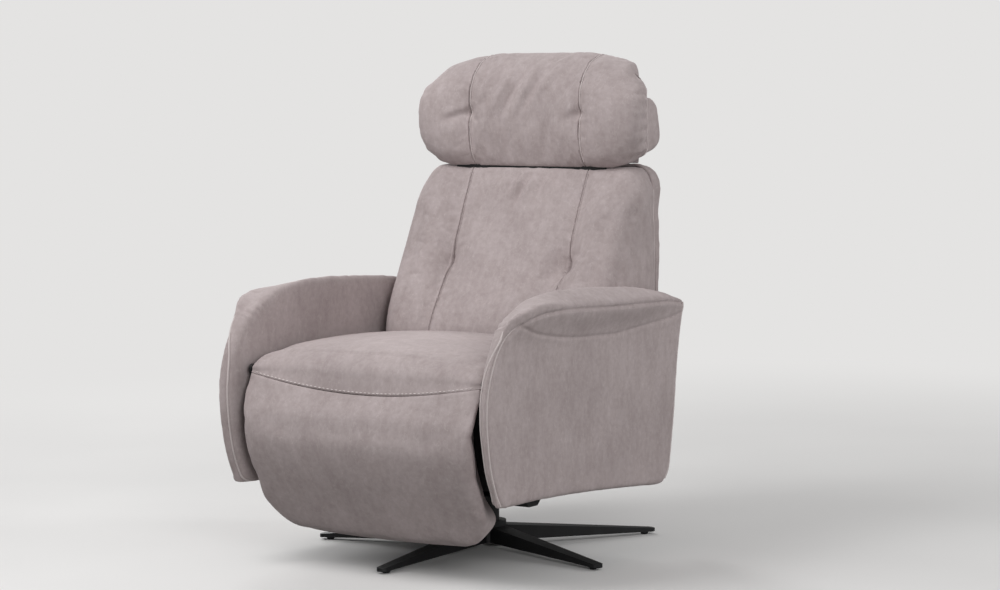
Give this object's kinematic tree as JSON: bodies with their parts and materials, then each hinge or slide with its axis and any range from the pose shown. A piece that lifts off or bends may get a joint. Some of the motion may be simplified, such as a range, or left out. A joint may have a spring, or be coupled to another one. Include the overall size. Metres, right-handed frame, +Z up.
{
  "type": "star base swivel recliner",
  "caption": "Upholstered swivel recliner on a low star base: leaning back swings the footrest out through push links, and the headrest tilts.",
  "frame": {"origin": "on the floor, on the swivel axis", "axes": "+Z up along the swivel axis, -Y towards the front of the seat, +X to the viewer's right"},
  "size_m": [0.7268, 0.7843, 1.0166],
  "materials": {
    "upholstery": "greige microfibre with a nubuck look, cloudy and soft",
    "black_steel": "matt black powder coat",
    "bright_steel": "zinc plated",
    "plywood": "raw birch plywood",
    "black_plastic": "moulded black",
    "dust_cloth": "black non-woven cloth"
  },
  "bodies": {
    "root": {"star_base": "black_steel", "base_column": "black_steel", "column_bush": "black_plastic", "thrust_bearing": "bright_steel", "base_glides": "black_plastic"},
    "seat_unit": {"spindle": "bright_steel", "swivel_plate": "black_steel", "swivel_bolts": "bright_steel", "front_beam": "black_steel", "rear_beam": "black_steel", "dust_cover": "dust_cloth", "side_plate_left": "black_steel", "side_plate_right": "black_steel", "front_spring_rail": "black_steel", "rear_spring_rail": "black_steel", "seat_springs": "bright_steel", "seat_cushion": "upholstery", "gas_bracket": "black_steel", "arm_core_left": "plywood", "arm_core_right": "plywood", "arm_cover_left": "upholstery", "arm_cover_right": "upholstery", "arm_spacers": "bright_steel", "arm_bolts": "bright_steel"},
    "footrest": {"footrest_pad": "upholstery", "footrest_board": "plywood", "footrest_arm_left": "black_steel", "footrest_arm_right": "black_steel", "footrest_pins": "bright_steel"},
    "backrest": {"back_cushion": "upholstery", "back_rear_cover": "upholstery", "back_tube_left": "black_steel", "back_tube_right": "black_steel", "back_top_tube": "black_steel", "back_lower_tube": "black_steel", "back_springs": "bright_steel", "back_arm_left": "black_steel", "back_arm_right": "black_steel", "back_pins": "bright_steel", "gas_fork": "black_steel", "headrest_lower_leaves": "black_steel"},
    "headrest": {"headrest_cushion": "upholstery", "headrest_rear_pad": "upholstery", "headrest_board": "plywood", "headrest_upper_leaves": "black_steel"},
    "push_links": {"push_link_left": "black_steel", "push_link_right": "black_steel"},
    "gas_tube": {"gas_tube": "black_plastic"},
    "gas_rod": {"gas_rod": "bright_steel"}
  },
  "joints": [
    {"name": "swivel", "type": "hinge", "parent": "root", "child": "seat_unit", "pos_m": [0, 0, 0], "axis": [0, 0, 1], "continuous": true},
    {"name": "back_recline", "type": "hinge", "parent": "seat_unit", "child": "backrest", "pos_m": [0, 0.06, 0.35], "axis": [-1, 0, 0], "range_deg": [0, 36]},
    {"name": "footrest_swing", "type": "hinge", "parent": "seat_unit", "child": "footrest", "pos_m": [0, -0.4, 0.395], "axis": [-1, 0, 0], "range_deg": [0, 72]},
    {"name": "headrest_tilt", "type": "hinge", "parent": "backrest", "child": "headrest", "pos_m": [0, 0.184, 0.781], "axis": [1, 0, 0], "range_deg": [0, 30]},
    {"name": "push_link_turn", "type": "hinge", "parent": "backrest", "child": "push_links", "pos_m": [0, 0.07709, 0.30429], "axis": [-1, 0, 0], "range_deg": [-35.7, 0]},
    {"name": "gas_tube_turn", "type": "hinge", "parent": "seat_unit", "child": "gas_tube", "pos_m": [0, -0.232, 0.296], "axis": [1, 0, 0], "range_deg": [0, 1.26]},
    {"name": "gas_rod_slide", "type": "slide", "parent": "gas_tube", "child": "gas_rod", "axis": [0, 0.9998, -0.018], "range_m": [-0.0366, 0]}
  ],
  "couplings": [
    {"joint": "footrest_swing", "follows": "back_recline", "ratio": 2},
    {"joint": "push_link_turn", "follows": "back_recline", "ratio": -0.9913},
    {"joint": "gas_tube_turn", "follows": "back_recline", "ratio": 0.0348},
    {"joint": "gas_rod_slide", "follows": "back_recline", "m_per_rad": -0.0582}
  ]
}
